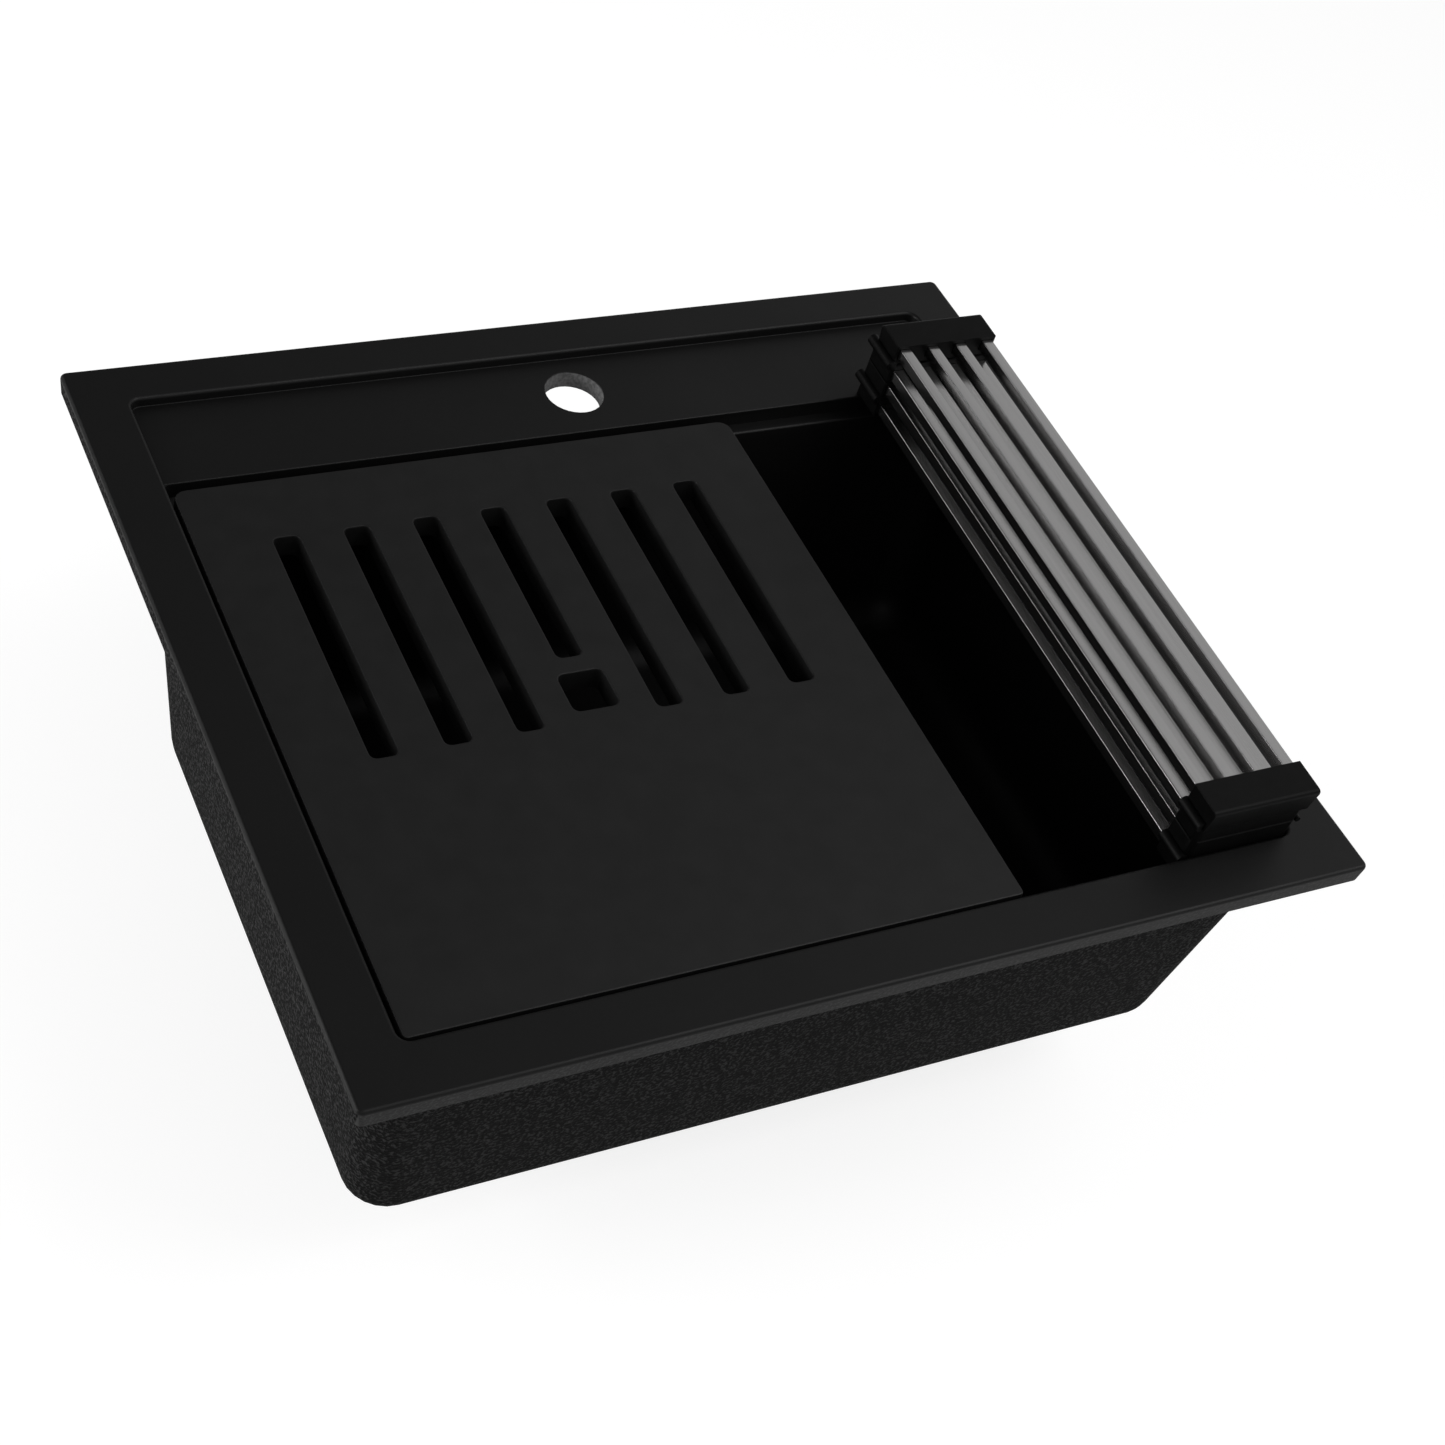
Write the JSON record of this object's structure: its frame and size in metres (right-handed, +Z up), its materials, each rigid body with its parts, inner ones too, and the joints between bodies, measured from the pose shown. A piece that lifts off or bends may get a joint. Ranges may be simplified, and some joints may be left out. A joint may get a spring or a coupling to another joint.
{
  "type": "workstation kitchen sink",
  "caption": "Drop-in composite workstation sink with a recessed tap deck, ledges that carry a slotted sliding cutting board, a folded drying rack and a basket strainer.",
  "frame": {"origin": "centre of the rim's outline, on the plane of the rim's underside that rests on the worktop", "axes": "+X to the right along the front of the sink, +Y from the front to the tap deck at the back, +Z up"},
  "size_m": [0.635, 0.5588, 0.3195],
  "materials": {
    "composite": "fine-grained matt quartz composite",
    "board_plastic": "matt, fine texture",
    "silicone": "satin silicone",
    "bar_steel": "satin stainless steel",
    "strainer_steel": "black coated stainless steel",
    "seal_rubber": "matt rubber",
    "nylon": "moulded nylon"
  },
  "bodies": {
    "sink": {"sink_body": "composite", "strainer_body": "strainer_steel", "flange_seal": "seal_rubber", "underside_gasket": "seal_rubber", "friction_washer": "nylon", "lock_nut": "nylon"},
    "board": {"cutting_board": "board_plastic"},
    "rack_panel_1": {"rack_panel_1_front_strip": "silicone", "rack_panel_1_back_strip": "silicone", "rack_panel_1_bar_1": "bar_steel", "rack_panel_1_bar_2": "bar_steel", "rack_panel_1_bar_3": "bar_steel", "rack_panel_1_bar_4": "bar_steel"},
    "rack_panel_2": {"rack_panel_2_front_strip": "silicone", "rack_panel_2_back_strip": "silicone", "rack_panel_2_bar_1": "bar_steel", "rack_panel_2_bar_2": "bar_steel", "rack_panel_2_bar_3": "bar_steel", "rack_panel_2_bar_4": "bar_steel"},
    "rack_panel_3": {"rack_panel_3_front_strip": "silicone", "rack_panel_3_back_strip": "silicone", "rack_panel_3_bar_1": "bar_steel", "rack_panel_3_bar_2": "bar_steel", "rack_panel_3_bar_3": "bar_steel", "rack_panel_3_bar_4": "bar_steel"},
    "rack_panel_4": {"rack_panel_4_front_strip": "silicone", "rack_panel_4_back_strip": "silicone", "rack_panel_4_bar_1": "bar_steel", "rack_panel_4_bar_2": "bar_steel", "rack_panel_4_bar_3": "bar_steel", "rack_panel_4_bar_4": "bar_steel"},
    "basket": {"strainer_basket": "strainer_steel", "basket_knob": "strainer_steel", "basket_stopper": "seal_rubber"}
  },
  "joints": [
    {"name": "board_slide", "type": "slide", "parent": "sink", "child": "board", "axis": [1, 0, 0], "range_m": [0, 0.055]},
    {"name": "rack_lift", "type": "slide", "parent": "sink", "child": "rack_panel_1", "axis": [0, 0, 1], "range_m": [0, 0.12]},
    {"name": "rack_fold_1", "type": "hinge", "parent": "rack_panel_1", "child": "rack_panel_2", "pos_m": [0.2029, -0.244, 0.01042], "axis": [0, -0.9997, -0.0262], "range_deg": [0, 155]},
    {"name": "rack_fold_2", "type": "hinge", "parent": "rack_panel_2", "child": "rack_panel_3", "pos_m": [0.2808, -0.2444, 0.02571], "axis": [0, 0.9997, 0.0262], "range_deg": [0, 155]},
    {"name": "rack_fold_3", "type": "hinge", "parent": "rack_panel_3", "child": "rack_panel_4", "pos_m": [0.2029, -0.2448, 0.04101], "axis": [0, -0.9997, -0.0262], "range_deg": [0, 155]},
    {"name": "basket_lift", "type": "slide", "parent": "sink", "child": "basket", "axis": [0, 0, 1], "range_m": [0, 0.06]}
  ],
  "couplings": [
    {"joint": "rack_fold_2", "follows": "rack_fold_1", "ratio": 1},
    {"joint": "rack_fold_3", "follows": "rack_fold_1", "ratio": 1}
  ]
}
